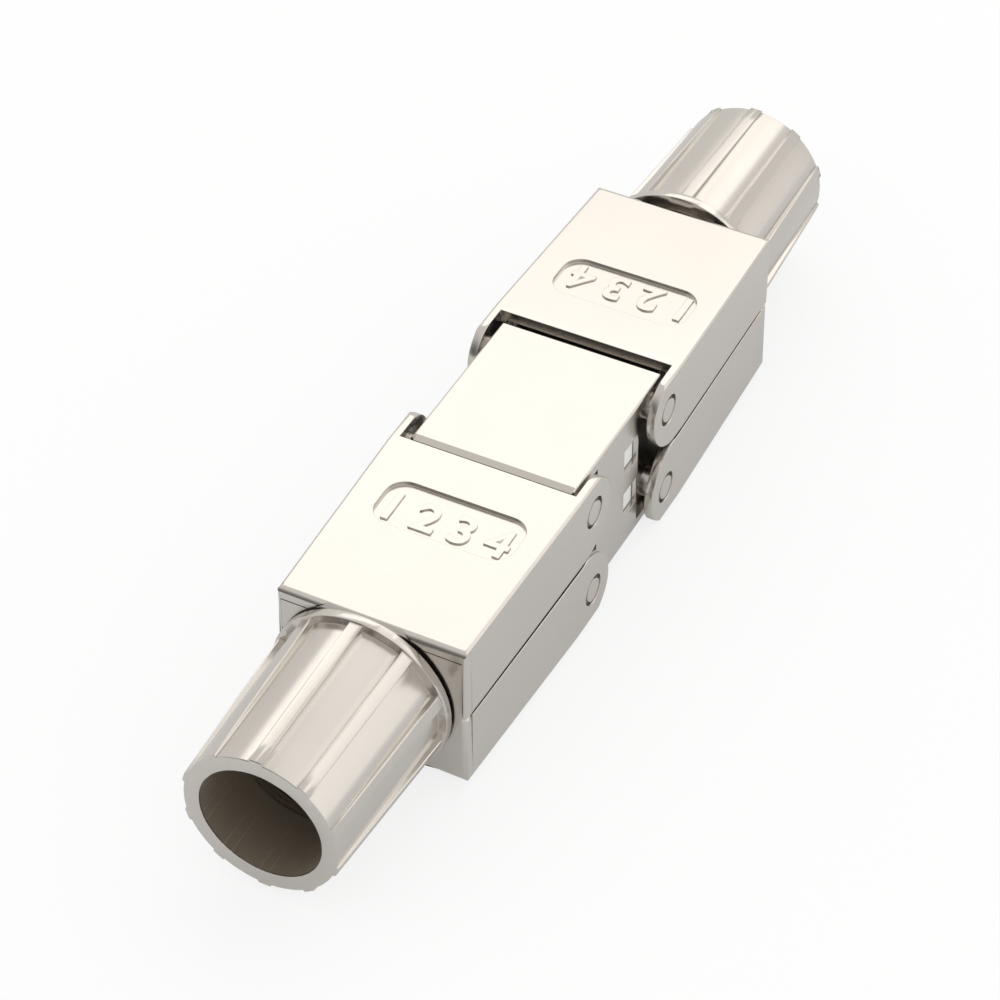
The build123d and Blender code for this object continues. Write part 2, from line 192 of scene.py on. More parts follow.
def softbox(name, azimuth, elevation, across, high, level):
    """A rectangular lamp that looks at the part from an azimuth and elevation in degrees,
    as wide and as high as the angles say. Its power grows with its face and its level."""
    data = bpy.data.lights.new(name, "AREA")
    data.shape = "RECTANGLE"
    data.size = 2 * LAMP_FAR * math.tan(math.radians(across / 2))
    data.size_y = 2 * LAMP_FAR * math.tan(math.radians(high / 2))
    data.energy = level * LAMP_POWER * data.size * data.size_y
    data.color = LAMP_COLOUR
    turn, lift = math.radians(azimuth), math.radians(elevation)
    lamp = bpy.data.objects.new(name, data)
    lamp.location = (
        LAMP_FAR * math.cos(lift) * math.cos(turn),
        LAMP_FAR * math.cos(lift) * math.sin(turn),
        LAMP_FAR * math.sin(lift),
    )
    lamp.rotation_euler = (-Vector(lamp.location)).to_track_quat("-Z", "Y").to_euler()
    bpy.context.collection.objects.link(lamp)


softbox("lamp_over_far_end", 19, 42, 56, 26, 0.55)
softbox("lamp_higher_left", 32, 47, 34, 20, 0.18)
softbox("lamp_right", -56, 21.5, 34, 51, 0.34)
softbox("lamp_top", -31, 51, 40, 26, 0.22)
bpy.context.scene.view_settings.view_transform = "Standard"


# Centre housing. A zinc die casting, plated with satin nickel: a square sleeve with a raised
# middle, eight hinge pins, and windows for the carriers' lugs. Its edges are broken, and
# the near edge of the raised middle slopes off.
WIDEST_BREAK = 0.30 * MM
BROKEN_TURN = math.radians(32)  # an edge that turns by more is broken
TAPER_FROM = 10.0               # mm from the middle, where the doors begin to taper
TAPER_STEP = 0.09 * MM          # points there that lie nearer together become one
SAME_POINT, TINY_EDGE = 0.002 * MM, 0.004 * MM
NICKEL = (0.66, 0.63, 0.59)


def satin_nickel(name, colour, roughness, grain_mm):
    """Metal whose colour and roughness drift over a few millimetres, with a fine cast grain
    in its height."""
    material = bpy.data.materials.new(name)
    material.use_nodes = True
    nodes, links = material.node_tree.nodes, material.node_tree.links
    shader = nodes["Principled BSDF"]
    shader.inputs["Metallic"].default_value = 1.0
    place = nodes.new("ShaderNodeTexCoord")
    cloud = nodes.new("ShaderNodeTexNoise")
    cloud.inputs["Scale"].default_value = 160.0
    cloud.inputs["Detail"].default_value = 3.0
    grain = nodes.new("ShaderNodeTexNoise")
    grain.inputs["Scale"].default_value = 1.0 / (grain_mm * MM)
    grain.inputs["Detail"].default_value = 4.0
    tint = nodes.new("ShaderNodeMix")
    tint.data_type = "RGBA"
    tint.inputs["A"].default_value = (*[c * 0.975 for c in colour], 1)
    tint.inputs["B"].default_value = (*[min(1, c * 1.025) for c in colour], 1)
    rough = nodes.new("ShaderNodeMapRange")
    rough.inputs["To Min"].default_value = roughness - 0.04
    rough.inputs["To Max"].default_value = roughness + 0.05
    bump = nodes.new("ShaderNodeBump")
    bump.inputs["Strength"].default_value = 0.12
    bump.inputs["Distance"].default_value = 0.02 * MM
    for noise in (cloud, grain):
        links.new(place.outputs["Object"], noise.inputs["Vector"])
    links.new(cloud.outputs["Fac"], tint.inputs["Factor"])
    links.new(tint.outputs["Result"], shader.inputs["Base Color"])
    links.new(grain.outputs["Fac"], rough.inputs["Value"])
    links.new(rough.outputs["Result"], shader.inputs["Roughness"])
    links.new(grain.outputs["Fac"], bump.inputs["Height"])
    links.new(bump.outputs["Normal"], shader.inputs["Normal"])
    return material


cast_nickel = satin_nickel("cast_satin_nickel", NICKEL, 0.22, 0.18)


def merged_copy(node, piece_name, reshape, break_at, cut_rows=None):
    """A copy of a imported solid's mesh with its loose triangles merged, its points moved by
    reshape, and its flat faces joined. Each edge that turns by more than BROKEN_TURN is
    marked with its own break, which break_at gives from its middle, as a share of the
    widest. Both functions work in millimetres. A third one can cut rows into the mesh."""
    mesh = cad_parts[node].data.copy()
    mesh.name = piece_name
    work = bmesh.new()
    work.from_mesh(mesh)
    bmesh.ops.remove_doubles(work, verts=work.verts, dist=SAME_POINT)
    if cut_rows:
        cut_rows(work)
    work.to_mesh(mesh)
    points = np.empty(3 * len(mesh.vertices), np.float32)
    mesh.vertices.foreach_get("co", points)
    points = reshape(points.reshape(-1, 3).astype(float) / MM) * MM
    mesh.vertices.foreach_set("co", points.astype(np.float32).ravel())
    work.clear()
    work.from_mesh(mesh)
    at_taper = [v for v in work.verts if abs(abs(v.co.x) / MM - TAPER_FROM) < 0.02]
    bmesh.ops.remove_doubles(work, verts=at_taper, dist=TAPER_STEP)
    bmesh.ops.dissolve_degenerate(work, edges=work.edges, dist=TINY_EDGE)
    bmesh.ops.dissolve_limit(
        work, angle_limit=math.radians(0.5), verts=work.verts, edges=work.edges
    )
    share = work.edges.layers.float.new("bevel_weight_edge")
    for edge in work.edges:
        if edge.is_manifold and edge.calc_face_angle() > BROKEN_TURN:
            first, last = (vertex.co / MM for vertex in edge.verts)
            edge[share] = break_at((first + last) / 2) * MM / WIDEST_BREAK
            edge.smooth = edge[share] > 0
    work.to_mesh(mesh)
    work.free()
    return mesh


def edge_broken_casting(mesh, body, material):
    """A piece from a merged mesh, its marked edges rounded by a small bevel."""
    mesh.materials.clear()
    mesh.materials.append(material)
    mesh.shade_smooth()
    piece = bpy.data.objects.new(mesh.name, mesh)
    bpy.context.collection.objects.link(piece)
    bevel = piece.modifiers.new("edge", "BEVEL")
    bevel.width = WIDEST_BREAK
    bevel.segments = 2
    bevel.limit_method = "WEIGHT"
    bevel.use_clamp_overlap = False
    level_faces = piece.modifiers.new("level faces", "WEIGHTED_NORMAL")
    level_faces.mode = "FACE_AREA"
    level_faces.weight = 90
    level_faces.keep_sharp = True
    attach(piece, body)
    return piece


def carried_profile(rows, columns, place, name, material_rows=None):
    """A closed skin from a profile that is carried round: point (i, j) is place(row i,
    column j), and faces join neighbours, round the columns and, where the last row comes
    back to the first, round the rows. Its winding is turned so that the faces look out."""
    count, around = len(rows), len(columns)
    points = place(np.asarray(rows, float)[:, None, :], np.asarray(columns, float)[None, :])
    i, j = np.meshgrid(np.arange(count), np.arange(around), indexing="ij")
    row, next_row = i * around, (i + 1) % count * around
    next_j = (j + 1) % around
    quads = np.stack([row + j, row + next_j, next_row + next_j, next_row + j], -1)
    flat, quads = points.reshape(-1, 3), quads.reshape(-1, 4)
    a, b, c, d = (flat[quads[:, k]] for k in range(4))
    volume = (np.cross(a, b) * c).sum() + (np.cross(a, c) * d).sum()
    if volume < 0:
        quads = quads[:, ::-1]
    mesh = bpy.data.meshes.new(name)
    mesh.from_pydata(flat.tolist(), [], quads.tolist())
    if material_rows is not None:
        numbers = np.repeat(np.asarray(material_rows, np.int32), around)
        mesh.polygons.foreach_set("material_index", numbers)
    mesh.shade_smooth()
    mesh.set_sharp_from_angle(angle=math.radians(38))
    piece = bpy.data.objects.new(name, mesh)
    bpy.context.collection.objects.link(piece)
    return piece


# The housing's hinge pins: each stands in its ear with a ring groove left round its head.
# The edge that crosses the raised middle at its near end slopes off, above and below.
# Sizes are in millimetres.
TOUCH = 0.01  # two places that lie nearer together are the same
PIN_X, PIN_Z, PIN_FACE, PIN_R = 7.2, 4.47, 9.0, 1.40
PIN_GROOVE = 0.75
HEAD_RISE = 0.015
HEAD_POINTS = 48
MIDDLE_DRAWN_X, MIDDLE_X = -8.25, -8.40  # its near end wall, in the solid and here
MIDDLE_FOOT_Z, MIDDLE_TOP_Z = 6.2, 7.15
SLOPE_LONG, SLOPE_DEEP = 0.53, 0.30


def fitted_housing(points):
    """The flat end of each pin moves in by the groove's depth, and the near end walls of
    the raised middle move out."""
    from_pin = np.hypot(np.abs(points[:, 0]) - PIN_X, np.abs(points[:, 2]) - PIN_Z)
    ends = (np.abs(points[:, 1]) > PIN_FACE - 0.02) & (from_pin < PIN_R + 0.02)
    points[ends, 1] = np.sign(points[ends, 1]) * (PIN_FACE - PIN_GROOVE)
    at_wall = np.abs(points[:, 0] - MIDDLE_DRAWN_X) < TOUCH
    walls = at_wall & (np.abs(points[:, 2]) > MIDDLE_FOOT_Z - TOUCH)
    points[walls, 0] = MIDDLE_X
    return points


def housing_break(middle):
    """0.05 mm, but none round the raised middle."""
    return 0.0 if abs(middle.z) > MIDDLE_FOOT_Z + 0.1 else 0.05


housing_mesh = merged_copy("centre_housing", "housing_casting", fitted_housing, housing_break)
work = bmesh.new()
work.from_mesh(housing_mesh)


def on_crossing_edge(vertex):
    """Whether a point is on the raised middle's near edge, above or below."""
    at_wall = abs(vertex.co.x / MM - MIDDLE_X) < TOUCH
    return at_wall and abs(vertex.co.z) / MM > MIDDLE_TOP_Z - TOUCH


crossing = [edge for edge in work.edges if all(map(on_crossing_edge, edge.verts))]
bmesh.ops.bevel(
    work, geom=crossing, offset=SLOPE_LONG * MM, segments=1, affect="EDGES", clamp_overlap=False
)
for vertex in work.verts:
    x, z = vertex.co.x / MM, abs(vertex.co.z) / MM
    if abs(x - MIDDLE_X) < TOUCH and abs(z - (MIDDLE_TOP_Z - SLOPE_LONG)) < TOUCH:
        vertex.co.z = math.copysign((MIDDLE_TOP_Z - SLOPE_DEEP) * MM, vertex.co.z)
for edge in work.edges:
    height = abs(edge.verts[0].co.z + edge.verts[1].co.z) / 2 / MM
    on_middle = height > MIDDLE_FOOT_Z + 0.3
    if on_middle and edge.is_manifold and edge.calc_face_angle() > math.radians(20):
        edge.smooth = False
work.to_mesh(housing_mesh)
work.free()
housing = edge_broken_casting(housing_mesh, "housing", cast_nickel)
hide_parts("centre_housing")

head_profile = [
    (0.001, -0.77), (1.10, -0.77), (1.10, -0.06), (1.08, -0.02), (1.03, 0.0), (0.6, 0.012),
    (0.001, HEAD_RISE),
]
turns = np.linspace(0, 2 * np.pi, HEAD_POINTS, endpoint=False)
for side, side_name in ((-1, "right"), (1, "left")):
    for end, end_name in ((-1, "near"), (1, "far")):
        for level, level_name in ((-1, "lower"), (1, "upper")):

            def head_place(row, turn):
                """The profile's radius turned about the pin's middle, its height along Y."""
                radius, rise = row[..., 0], row[..., 1]
                x = end * PIN_X + radius * np.cos(turn)
                y = side * (PIN_FACE - HEAD_RISE + rise) + 0 * turn
                z = level * PIN_Z + radius * np.sin(turn)
                return np.stack(np.broadcast_arrays(x, y, z), -1) * MM

            name = f"pin_head_{side_name}_{end_name}_{level_name}"
            head = carried_profile(head_profile, turns, head_place, name)
            head.data.materials.append(cast_nickel)
            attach(head, "housing")


# Doors. Four covers, cast and plated as the housing is. Each swings on the housing's pins,
# and the lower ones carry the end wall with the collar for the nut. Sizes are in
# millimetres, and a name with DRAWN is a size of the solid that is changed here.
DOOR_HALF_WIDE, DOOR_HALF_HIGH = 9.0, 7.7  # up to where the taper begins
TAPER_TO, SIDE_TAPER, TOP_TAPER = 29.4, 0.50, 0.39
SIDE_AT_END = DOOR_HALF_WIDE - SIDE_TAPER
AXIS_Y = 0.64                              # the cable's axis
LONG_ROUNDS_DRAWN, LONG_ROUND = (0.8, 0.7), 0.30
ON_LONG_ROUND, ON_END_ROUND = 0.015, 0.035  # how near to a rounding a point counts as on it
END_ROUND_X, END_ROUND_Z = 28.6, 6.53      # the middle of the end's rounding in the solid
END_ROUND_DRAWN, END_ROUND, END_CORNER = 0.80, 0.60, 0.28
RECESS_FLOOR_X, RECESS_R, RECESS_FILL = 28.8, 8.06, 0.54  # round the nut's flange
END_FROM, WALL_FROM = 28.2, 28.3           # where the end and its wall count from
WALL_SIDE_DRAWN, WALL_SIDE_OUT = 8.1, 0.085
NOTCH_X, NOTCH_BACK = 9.17, 0.11           # the edge beside the raised middle
MARK_X, MARK_HALF = 16.4, 2.7              # the recess of the figures
MARK_DRAWN, MARK_FILL = 0.40, 0.06
SEAM_FROM, SEAM_SIDE, SEAM_OPEN, SEAM_OPEN_MORE = 8.95, 8.15, 0.10, 0.18


def door_break(middle):
    """0.05 mm, more round the pins' holes and the ears, and none where the taper begins or
    at the end, where the upper door's rim closes on the end wall."""
    if abs(abs(middle.x) - TAPER_FROM) < 0.1 or abs(middle.x) > END_FROM:
        return 0.0
    return 0.09 if abs(middle.y) > SIDE_AT_END else 0.05


def end_rows(work):
    """Cuts the door where its end begins to round, and cuts the rounding into even rows."""
    past_start = (END_ROUND_X - 0.001) * MM
    for side in (-1, 1):
        for angle in (0, 12, 24, 36, 48, 60, 74):
            turn = math.radians(angle)
            faces = list(work.faces)
            if angle:
                faces = [f for f in faces if all(side * v.co.x > past_start for v in f.verts)]
            edges = {e for f in faces for e in f.edges}
            verts = {v for f in faces for v in f.verts}
            if faces:
                bmesh.ops.bisect_plane(
                    work, geom=[*verts, *edges, *faces], dist=0.0002 * MM,
                    plane_co=(side * END_ROUND_X * MM, 0, END_ROUND_Z * MM),
                    plane_no=(side * math.cos(turn), 0, -math.sin(turn)),
                )


def round_long_edges(points, drawn, wide, high):
    """The rounding of the long outer edges, drawn tighter about the same sharp corner. A
    point that lies on the wide rounding moves out from its middle, along its own
    direction, until it meets the side, the top or the tight rounding between them."""
    moved = np.zeros(len(points), bool)
    for radius in LONG_ROUNDS_DRAWN:
        out_y = np.abs(points[:, 1]) - (wide - radius)
        out_z = np.abs(points[:, 2]) - (high - radius)
        reach = np.hypot(out_y, out_z)
        on = (out_y > 0.02) & (out_z > 0.02) & (np.abs(reach - radius) < ON_LONG_ROUND)
        on &= ~moved
        across, up = out_y / np.maximum(reach, 1e-6), out_z / np.maximum(reach, 1e-6)
        shift = radius - LONG_ROUND
        under = LONG_ROUND**2 - (shift * (across - up)) ** 2
        on_round = shift * (across + up) + np.sqrt(np.clip(under, 0, None))
        flat = radius / np.maximum(np.maximum(across, up), 1e-6)
        corner_part = (np.minimum(across, up) * flat > shift) & (under > 0)
        out = np.where(corner_part, on_round, flat)
        points[on, 1] = (np.sign(points[:, 1]) * (wide - radius + across * out))[on]
        points[on, 2] = (np.sign(points[:, 2]) * (high - radius + up * out))[on]
        moved |= on
    # At the upper door's end a point keeps its height and only moves out to the side.
    at_end = moved & (np.abs(drawn[:, 0]) > END_ROUND_X) & (drawn[:, 2] > 0)
    drop = np.clip(high - np.abs(drawn[:, 2]), 0, LONG_ROUND)
    side = wide - LONG_ROUND + np.sqrt(LONG_ROUND**2 - (LONG_ROUND - drop) ** 2)
    past_corner = np.clip(np.abs(drawn[:, 0]) - (TAPER_TO - END_CORNER), 0, END_CORNER)
    upright = SIDE_AT_END - END_CORNER + np.sqrt(END_CORNER**2 - past_corner**2)
    points[at_end, 1] = (np.sign(drawn[:, 1]) * np.minimum(side, upright))[at_end]
    points[at_end, 2] = drawn[at_end, 2]


def on_recess_floor(points):
    """Which points lie on the floor of the recess round the nut's flange."""
    from_axis = np.hypot(points[:, 1] - AXIS_Y, points[:, 2])
    return (np.abs(np.abs(points[:, 0]) - RECESS_FLOOR_X) < TOUCH) & (from_axis < RECESS_R)


def fit_upper_end(points, drawn):
    """The end's rounding gets smaller about a middle that lies further out, and each point
    on it keeps its direction from that middle. The recess is filled up to it."""
    past_x, past_z = np.abs(drawn[:, 0]) - END_ROUND_X, drawn[:, 2] - END_ROUND_Z
    away = np.hypot(past_x, past_z)
    on = (past_x > -0.001) & (past_z > -0.001) & (np.abs(away - END_ROUND_DRAWN) < ON_END_ROUND)
    further = END_ROUND_DRAWN - END_ROUND
    x = END_ROUND_X + further + END_ROUND * past_x / np.maximum(away, 1e-6)
    z = END_ROUND_Z + further + END_ROUND * past_z / np.maximum(away, 1e-6)
    points[on, 0] = (np.sign(drawn[:, 0]) * x)[on]
    points[on, 2] = z[on]
    filled = on_recess_floor(points)
    rise = np.clip(past_z - further, 0, END_ROUND)
    reach = END_ROUND_X + further + np.sqrt(END_ROUND**2 - rise**2)
    points[filled, 0] = (np.sign(drawn[:, 0]) * reach)[filled]


def fit_lower_end(points, drawn):
    """The end wall's recess gets shallow, apart from where it runs out through the door's
    side, and the wall's sides stand closer to the upper door's rim."""
    filled = on_recess_floor(points)
    reach = RECESS_FLOOR_X + np.where(drawn[:, 1] > SIDE_AT_END - 0.1, 0, RECESS_FILL)
    points[filled, 0] = (np.sign(drawn[:, 0]) * reach)[filled]
    at_side = np.abs(np.abs(drawn[:, 1]) - WALL_SIDE_DRAWN) < TOUCH
    wall = at_side & (np.abs(drawn[:, 0]) > WALL_FROM) & (drawn[:, 2] > 0.05)
    points[wall, 1] = np.sign(drawn[wall, 1]) * (WALL_SIDE_DRAWN + WALL_SIDE_OUT)


def fitted_door(points):
    """Small shifts of a door's points: tighter long edges, the end, the near doors' edge
    beside the raised middle, a shallower recess for the figures, and a seam that opens
    towards the end, taken from the lower door's edge."""
    drawn = points.copy()
    past = np.clip(np.abs(points[:, 0]) - TAPER_FROM, 0, None) / (TAPER_TO - TAPER_FROM)
    wide, high = DOOR_HALF_WIDE - SIDE_TAPER * past, DOOR_HALF_HIGH - TOP_TAPER * past
    round_long_edges(points, drawn, wide, high)
    if points[:, 2].max() > DOOR_HALF_HIGH - 0.1:
        fit_upper_end(points, drawn)
    else:
        fit_lower_end(points, drawn)
    notch = (np.abs(drawn[:, 0] + NOTCH_X) < TOUCH) & (np.abs(drawn[:, 2]) > MIDDLE_FOOT_Z)
    points[notch, 0] -= NOTCH_BACK
    in_mark = np.abs(np.abs(points[:, 0]) - MARK_X) < MARK_HALF
    on_mark = in_mark & (np.abs(points[:, 2] - (high - MARK_DRAWN)) < TOUCH)
    points[on_mark, 2] += MARK_FILL
    x, y, z = np.abs(points).T
    at_seam = (z < TOUCH) & (y > SEAM_SIDE) & (x > SEAM_FROM - 0.05)
    along = (x[at_seam] - SEAM_FROM) / (TAPER_TO - SEAM_FROM)
    points[at_seam, 2] -= SEAM_OPEN + SEAM_OPEN_MORE * along
    return points


for end in ("near", "far"):
    for level in ("upper", "lower"):
        door = f"{end}_{level}_door"
        mesh = merged_copy(door, door + "_casting", fitted_door, door_break, end_rows)
        casting = edge_broken_casting(mesh, door, cast_nickel)
        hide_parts(door)


# Figures on the upper doors, cast in one with them: four plain numbers that count the
# wires, raised from the floor of the recess and lower than the door's top.
FIGURE_HIGH = 3.3 * MM
FIGURES_LONG = 11.2 * MM
FIGURE_RISE, FIGURE_FOOT = 0.15 * MM, 0.1 * MM  # above and below the recess's floor
FIGURES_X, FIGURES_Y = 16.75 * MM, -0.45 * MM
DOOR_SLOPE = TOP_TAPER / (TAPER_TO - TAPER_FROM)
MARK_FLOOR_Z = (DOOR_HALF_HIGH - MARK_DRAWN + MARK_FILL) * MM  # before the slope begins

text = bpy.data.curves.new("wire_figures", "FONT")
text.body = "1234"
text.size = 1.0
text.space_character = 1.5
text.offset = 0.012
text.extrude = 0.5
text.bevel_depth = 0.012
text.bevel_resolution = 1
text.resolution_u = 6
text_object = bpy.data.objects.new("wire_figures", text)
flat_text = bpy.data.meshes.new_from_object(text_object)
letters = np.empty(3 * len(flat_text.vertices), np.float32)
flat_text.vertices.foreach_get("co", letters)
letters = letters.reshape(-1, 3).astype(float)
low, high = letters.min(0), letters.max(0)
letters = (letters - (low + high) / 2) / (high - low)
for end, end_name in ((-1, "near"), (1, "far")):
    # The letters' box is stretched to the sizes above. The line runs along -Y on the near
    # door and along +Y on the far one, and a figure's top looks at the other end.
    x = end * FIGURES_X - end * letters[:, 1] * FIGURE_HIGH
    y = FIGURES_Y + end * letters[:, 0] * FIGURES_LONG
    floor_at_x = MARK_FLOOR_Z - DOOR_SLOPE * (np.abs(x) - TAPER_FROM * MM)
    z = floor_at_x - FIGURE_FOOT + (letters[:, 2] + 0.5) * (FIGURE_RISE + FIGURE_FOOT)
    mesh = flat_text.copy()
    mesh.name = end_name + "_wire_figures"
    mesh.vertices.foreach_set("co", np.stack([x, y, z], -1).astype(np.float32).ravel())
    mesh.materials.clear()
    mesh.materials.append(cast_nickel)
    mesh.update()
    figures = bpy.data.objects.new(mesh.name, mesh)
    bpy.context.collection.objects.link(figures)
    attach(figures, end_name + "_upper_door")


# Thread on the collars: a low ridge in quarter turns, cut with the collar where its four
# slots run. Each quarter is a thin bar with a narrow crown, whose reach along the axis
# grows by the pitch with each full turn.
COLLAR_R = 6.42 * MM
THREAD_RISE = 0.075 * MM
THREAD_PITCH = 0.85 * MM
THREAD_FROM, THREAD_TO = 30.6 * MM, 38.3 * MM
SLOT_FROM = 33.9 * MM
SLOT_HALF = math.radians(4.6)
BAR_STEPS = 12
BAR_WIDE = 0.8  # as a share of the pitch
BAR_SECTION = np.array([(-0.5, -0.06), (0.5, -0.06), (0.12, 1.0), (-0.12, 1.0)])


def bar_point(quarter, step, side):
    """The number of a bar's point. They count on by side, then by step, then by quarter."""
    return (quarter * (BAR_STEPS + 1) + step) * 4 + side % 4


for end, end_name in ((-1, "near"), (1, "far")):
    quarters = int((THREAD_TO - THREAD_FROM) / THREAD_PITCH * 4)
    start = np.arange(quarters) * np.pi / 2
    begin_x = THREAD_FROM + THREAD_PITCH * start / (2 * np.pi)
    short = np.where(begin_x + THREAD_PITCH / 4 > SLOT_FROM, SLOT_HALF, 0.0)[:, None]
    share = np.linspace(0, 1, BAR_STEPS + 1)
    turn = (start[:, None] + short + share * (np.pi / 2 - 2 * short))[..., None]
    reach = THREAD_FROM + THREAD_PITCH * turn / (2 * np.pi)
    along = reach + BAR_SECTION[:, 0] * THREAD_PITCH * BAR_WIDE
    radius = COLLAR_R + BAR_SECTION[:, 1] * THREAD_RISE + 0 * along
    y = AXIS_Y * MM + radius * np.cos(turn)
    points = np.stack([end * along, y, radius * np.sin(turn)], -1)
    q, s, k = np.meshgrid(np.arange(quarters), np.arange(BAR_STEPS), np.arange(4), indexing="ij")
    corners = ((q, s, k), (q, s + 1, k), (q, s + 1, k + 1), (q, s, k + 1))
    sides = np.stack([bar_point(*corner) for corner in corners], -1).reshape(-1, 4)
    each, section = np.arange(quarters)[:, None], np.arange(4)
    first = bar_point(each, 0, section)
    last = bar_point(each, BAR_STEPS, section[::-1])
    faces = np.concatenate([sides, first, last])
    if end < 0:
        faces = faces[:, ::-1]
    mesh = bpy.data.meshes.new(end_name + "_collar_thread")
    mesh.from_pydata(points.reshape(-1, 3).tolist(), [], faces.tolist())
    mesh.materials.append(cast_nickel)
    thread = bpy.data.objects.new(mesh.name, mesh)
    bpy.context.collection.objects.link(thread)
    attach(thread, end_name + "_lower_door")


# Nuts. A zinc nut at each end, cast with ten ribs and plated as the doors are. The skin is
# one profile carried round the cable axis; the ribs rise from it by a share that depends on
# the turn, and the panels between them are deepest at the flange. Sizes are in millimetres.
RIBS = 10
FLANGE_BACK = {"near": 29.65, "far": 30.05}
FLANGE_DEEP, FLANGE_R, NUT_LONG = 0.85, 8.0, 16.7
PANEL_R, PANEL_TIP_R = 7.218, 6.882
RIB_RISE, RIB_TIP_RISE = 0.58, 0.22
COLLAR_HOLE_R, CABLE_HOLE_R = 6.52, 5.45
CONE_WIDE_END, CONE_THIN_END = 9.3, 10.3  # from the flange's back
# The bore's nickel is a darker, browner copy of the outer nickel: painted shade inside the bore.
# Its higher roughness is a real duller finish.
BORE_PAINTED_SHADE = (0.44, 0.385, 0.31)

bore_painted_shade = satin_nickel("bore_dull_painted_shade_nickel", BORE_PAINTED_SHADE, 0.72, 0.30)
half_rib = [  # degrees from a rib's middle, and the share of its rise there
    (0.0, 1.0), (2.2, 1.0), (3.7, 1.0), (4.15, 0.97), (4.4, 0.88), (4.5, 0.74), (4.55, 0.16),
    (4.7, 0.04), (5.1, 0.0), (7.0, 0.0), (10.0, 0.0), (14.0, 0.0),
]
one_rib = [(-angle, share) for angle, share in half_rib[:0:-1]] + half_rib
rib_turns = np.radians([angle + 360 / RIBS * k for k in range(RIBS) for angle, _ in one_rib])
rib_share = np.array([share for _, share in one_rib] * RIBS)

for end, end_name in ((-1, "near"), (1, "far")):
    back = FLANGE_BACK[end_name]
    root = back + FLANGE_DEEP
    tip = back + NUT_LONG
    panel_long = NUT_LONG - FLANGE_DEEP - 0.2
    # Each row is a reach along the axis, a radius and the rise of the ribs over it.
    profile = [
        (back, COLLAR_HOLE_R, 0), (back, FLANGE_R - 0.07, 0), (back + 0.02, FLANGE_R - 0.02, 0),
        (back + 0.07, FLANGE_R, 0), (root - 0.07, FLANGE_R, 0), (root - 0.02, FLANGE_R - 0.02, 0),
        (root, FLANGE_R - 0.07, 0), (root, 7.30, 0.54), (root + 0.03, 7.24, 0.57),
        (root + 0.10, PANEL_R, RIB_RISE),
    ]
    profile += [
        (
            root + 0.10 + panel_long * share,
            PANEL_R + (PANEL_TIP_R - PANEL_R) * share,
            RIB_RISE + (RIB_TIP_RISE - RIB_RISE) * share,
        )
        for share in np.linspace(0, 1, 9)[1:]
    ]
    profile += [
        (tip - 0.04, 6.85, 0.21), (tip, 6.77, 0.20), (tip, CABLE_HOLE_R + 0.13, 0),
        (tip - 0.04, CABLE_HOLE_R + 0.04, 0),
    ]
    outside_rows = len(profile)
    profile += [
        (tip - 0.14, CABLE_HOLE_R, 0), (back + CONE_THIN_END, CABLE_HOLE_R, 0),
        (back + CONE_WIDE_END, COLLAR_HOLE_R, 0), (back + 4.5, COLLAR_HOLE_R, 0),
        (back + 0.1, COLLAR_HOLE_R, 0),
    ]
    inside = np.arange(len(profile)) >= outside_rows

    def nut_place(row, turn):
        """The row's reach along the axis, and its radius with the rib's share added, turned
        from the top towards +Y."""
        radius = row[..., 1] + row[..., 2] * rib_share
        x = end * row[..., 0] + 0 * turn
        y, z = AXIS_Y + radius * np.sin(turn), radius * np.cos(turn)
        return np.stack(np.broadcast_arrays(x, y, z), -1) * MM

    nut = carried_profile(profile, rib_turns, nut_place, end_name + "_nut_casting", inside)
    nut.data.materials.append(cast_nickel)
    # The second slot, for the rows inside the bore, is the darker nickel with the painted shade.
    nut.data.materials.append(bore_painted_shade)
    level_faces = nut.modifiers.new("level faces", "WEIGHTED_NORMAL")
    level_faces.mode = "FACE_AREA"
    level_faces.weight = 70
    level_faces.keep_sharp = True
    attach(nut, end_name + "_nut")
    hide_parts(end_name + "_nut")


# Contact carriers. Two white mouldings, one on each face of the board, whose lugs snap into
# the housing's windows. The plastic is glass-filled and has a faint cloudy grain.
def moulded_plastic(name, dark, light, roughness):
    """Plastic whose colour drifts between two tones, with a fine moulded grain."""
    material = bpy.data.materials.new(name)
    material.use_nodes = True
    nodes, links = material.node_tree.nodes, material.node_tree.links
    shader = nodes["Principled BSDF"]
    shader.inputs["Roughness"].default_value = roughness
    place = nodes.new("ShaderNodeTexCoord")
    cloud = nodes.new("ShaderNodeTexNoise")
    cloud.inputs["Scale"].default_value = 700.0
    cloud.inputs["Detail"].default_value = 4.0
    tone = nodes.new("ShaderNodeMix")
    tone.data_type = "RGBA"
    tone.inputs["A"].default_value = (*dark, 1)
    tone.inputs["B"].default_value = (*light, 1)
    grain = nodes.new("ShaderNodeTexNoise")
    grain.inputs["Scale"].default_value = 9000.0
    bump = nodes.new("ShaderNodeBump")
    bump.inputs["Strength"].default_value = 0.2
    bump.inputs["Distance"].default_value = 0.02 * MM
    links.new(place.outputs["Object"], cloud.inputs["Vector"])
    links.new(place.outputs["Object"], grain.inputs["Vector"])
    links.new(cloud.outputs["Fac"], tone.inputs["Factor"])
    links.new(tone.outputs["Result"], shader.inputs["Base Color"])
    links.new(grain.outputs["Fac"], bump.inputs["Height"])
    links.new(bump.outputs["Normal"], shader.inputs["Normal"])
    return material


def finish_node(node, material):
    """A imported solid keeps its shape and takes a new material."""
    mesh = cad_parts[node].data
    mesh.materials.clear()
    mesh.materials.append(material)


carrier_plastic = moulded_plastic("carrier_white", (0.80, 0.80, 0.78), (0.90, 0.90, 0.88), 0.42)
for node in ("upper_carrier", "lower_carrier"):
    finish_node(node, carrier_plastic)


# Wire guides. Four small mouldings in a harder, greyer plastic, which sit on the contacts and
# stay with the housing when a door opens.
guide_plastic = moulded_plastic("guide_grey", (0.55, 0.57, 0.59), (0.64, 0.66, 0.68), 0.35)
for end in ("near", "far"):
    for level in ("upper", "lower"):
        finish_node(f"{end}_{level}_wire_guide", guide_plastic)


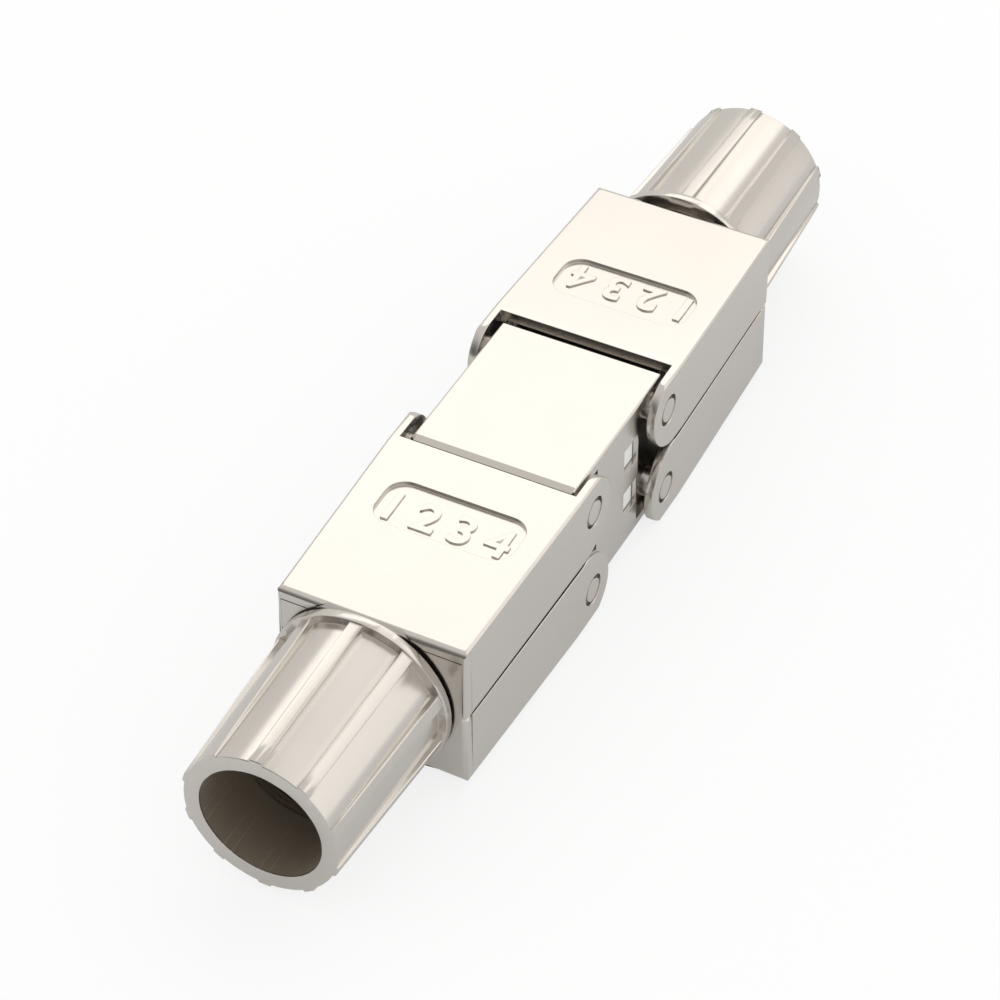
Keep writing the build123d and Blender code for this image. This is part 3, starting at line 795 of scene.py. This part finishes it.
# Contacts. Sixteen forks stamped from phosphor bronze and tinned; the stamping leaves fine
# upright marks.
def tinned_bronze():
    """Metal with a tint and a roughness that follow fine upright streaks."""
    material = bpy.data.materials.new("tinned_bronze")
    material.use_nodes = True
    nodes, links = material.node_tree.nodes, material.node_tree.links
    shader = nodes["Principled BSDF"]
    shader.inputs["Metallic"].default_value = 1.0
    place = nodes.new("ShaderNodeTexCoord")
    stretch = nodes.new("ShaderNodeMapping")
    stretch.inputs["Scale"].default_value = (9000.0, 9000.0, 600.0)
    streaks = nodes.new("ShaderNodeTexNoise")
    streaks.inputs["Scale"].default_value = 1.0
    tint = nodes.new("ShaderNodeMix")
    tint.data_type = "RGBA"
    tint.inputs["A"].default_value = (0.66, 0.54, 0.38, 1)
    tint.inputs["B"].default_value = (0.78, 0.70, 0.56, 1)
    rough = nodes.new("ShaderNodeMapRange")
    rough.inputs["To Min"].default_value = 0.24
    rough.inputs["To Max"].default_value = 0.38
    links.new(place.outputs["Object"], stretch.inputs["Vector"])
    links.new(stretch.outputs["Vector"], streaks.inputs["Vector"])
    links.new(streaks.outputs["Fac"], tint.inputs["Factor"])
    links.new(streaks.outputs["Fac"], rough.inputs["Value"])
    links.new(tint.outputs["Result"], shader.inputs["Base Color"])
    links.new(rough.outputs["Result"], shader.inputs["Roughness"])
    return material


contact_metal = tinned_bronze()
for end in ("near", "far"):
    for level in ("upper", "lower"):
        for count in range(1, 5):
            finish_node(f"{end}_{level}_contact_{count}", contact_metal)


# Circuit board. Glass-fibre laminate under green lacquer, with tracks along the cable that
# stand a little lighter. It lies between the two carriers.
def lacquered_board():
    """Green lacquer with lighter tracks: bands across Y from a wave, and the laminate's
    weave as a fine bump."""
    material = bpy.data.materials.new("board_lacquer")
    material.use_nodes = True
    nodes, links = material.node_tree.nodes, material.node_tree.links
    shader = nodes["Principled BSDF"]
    shader.inputs["Roughness"].default_value = 0.30
    place = nodes.new("ShaderNodeTexCoord")
    tracks = nodes.new("ShaderNodeTexWave")
    tracks.bands_direction = "Y"
    tracks.inputs["Scale"].default_value = 220.0
    tracks.inputs["Distortion"].default_value = 1.5
    tracks.inputs["Detail Scale"].default_value = 0.4
    edge = nodes.new("ShaderNodeValToRGB")
    edge.color_ramp.elements[0].position = 0.62
    edge.color_ramp.elements[0].color = (0.012, 0.085, 0.035, 1)
    edge.color_ramp.elements[1].position = 0.70
    edge.color_ramp.elements[1].color = (0.030, 0.150, 0.060, 1)
    weave = nodes.new("ShaderNodeTexChecker")
    weave.inputs["Scale"].default_value = 3000.0
    bump = nodes.new("ShaderNodeBump")
    bump.inputs["Strength"].default_value = 0.1
    bump.inputs["Distance"].default_value = 0.01 * MM
    links.new(place.outputs["Object"], tracks.inputs["Vector"])
    links.new(place.outputs["Object"], weave.inputs["Vector"])
    links.new(tracks.outputs["Fac"], edge.inputs["Fac"])
    links.new(edge.outputs["Color"], shader.inputs["Base Color"])
    links.new(weave.outputs["Fac"], bump.inputs["Height"])
    links.new(bump.outputs["Normal"], shader.inputs["Normal"])
    return material


finish_node("circuit_board", lacquered_board())
